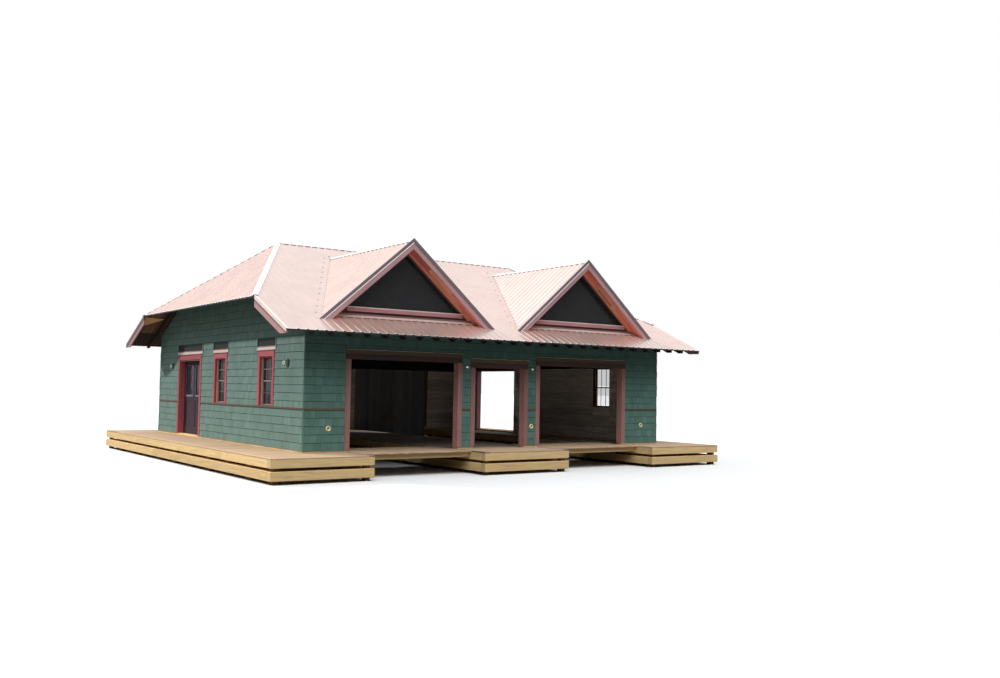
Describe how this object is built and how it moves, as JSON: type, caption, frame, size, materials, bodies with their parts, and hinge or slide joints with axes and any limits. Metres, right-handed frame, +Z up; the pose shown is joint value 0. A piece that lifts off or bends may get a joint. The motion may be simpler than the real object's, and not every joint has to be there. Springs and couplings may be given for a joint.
{
  "type": "boathouse",
  "caption": "Timber boathouse on cribs with open boat bays, a clipped-gable metal roof with cross dormers, shingled walls, side windows and a glazed double side door.",
  "frame": {"origin": "middle of the plan at the waterline, the underside of the cribs", "axes": "+X runs right along the front wall, +Y from front to back, +Z up"},
  "size_m": [14.22, 13.75, 6.3563],
  "materials": {
    "treated_timber": "sawn, weathered",
    "deck_boards": "fresh sawn boards",
    "green_siding": "stained shingles",
    "brown_trim": "stained boards",
    "belt_trim": "stained boards",
    "red_trim": "stained boards",
    "frame_timber": "planed timber",
    "soffit_wood": "stained boards",
    "rake_trim": "stained boards",
    "roof_metal": "matt, ribbed",
    "cap_metal": "matt",
    "flashing": "matt",
    "door_brown": "stained boards",
    "hinge_steel": "satin",
    "pane_glass": "clear",
    "lamp_metal": "matt",
    "ring_brass": "dull"
  },
  "bodies": {
    "boathouse": {"crib_blocks": "treated_timber", "crib_side_timbers": "treated_timber", "crib_end_timbers": "treated_timber", "crib_cross_timbers": "treated_timber", "deck_slabs": "deck_boards", "walkway_slabs": "deck_boards", "sill_plates": "treated_timber", "front_wall": "green_siding", "front_header": "green_siding", "back_wall": "green_siding", "back_header": "green_siding", "left_wall": "green_siding", "right_wall": "green_siding", "gable_walls": "green_siding", "jamb_liners": "red_trim", "opening_heads": "brown_trim", "jamb_casings": "brown_trim", "head_casings": "brown_trim", "drip_caps": "flashing", "belt_boards": "belt_trim", "window_casings": "red_trim", "window_sashes": "red_trim", "glass_panes": "pane_glass", "door_hinges": "hinge_steel", "boat_doors": "door_brown", "rafters": "frame_timber", "ridge_beam": "frame_timber", "roof_skirts": "roof_metal", "roof_fields": "roof_metal", "roof_crowns": "roof_metal", "roof_hips": "roof_metal", "dormer_slopes_left": "roof_metal", "dormer_slopes_right": "roof_metal", "dormer_gables": "soffit_wood", "dormer_sills": "rake_trim", "dormer_rakes": "rake_trim", "rake_boards": "rake_trim", "ridge_caps": "cap_metal", "hip_caps": "cap_metal", "lamp_boxes": "lamp_metal", "cover_rings": "ring_brass"},
    "near_leaf": {"leaf_near": "door_brown", "leaf_near_glass": "pane_glass"},
    "far_leaf": {"leaf_far": "door_brown", "leaf_far_glass": "pane_glass"}
  },
  "joints": [
    {"name": "near_leaf_hinge", "type": "hinge", "parent": "boathouse", "child": "near_leaf", "pos_m": [-5.6017, 1.7405, 0.628], "axis": [0, 0, -1], "range_deg": [0, 90]},
    {"name": "far_leaf_hinge", "type": "hinge", "parent": "boathouse", "child": "far_leaf", "pos_m": [-5.6017, 3.5295, 0.628], "axis": [0, 0, 1], "range_deg": [0, 90]}
  ]
}
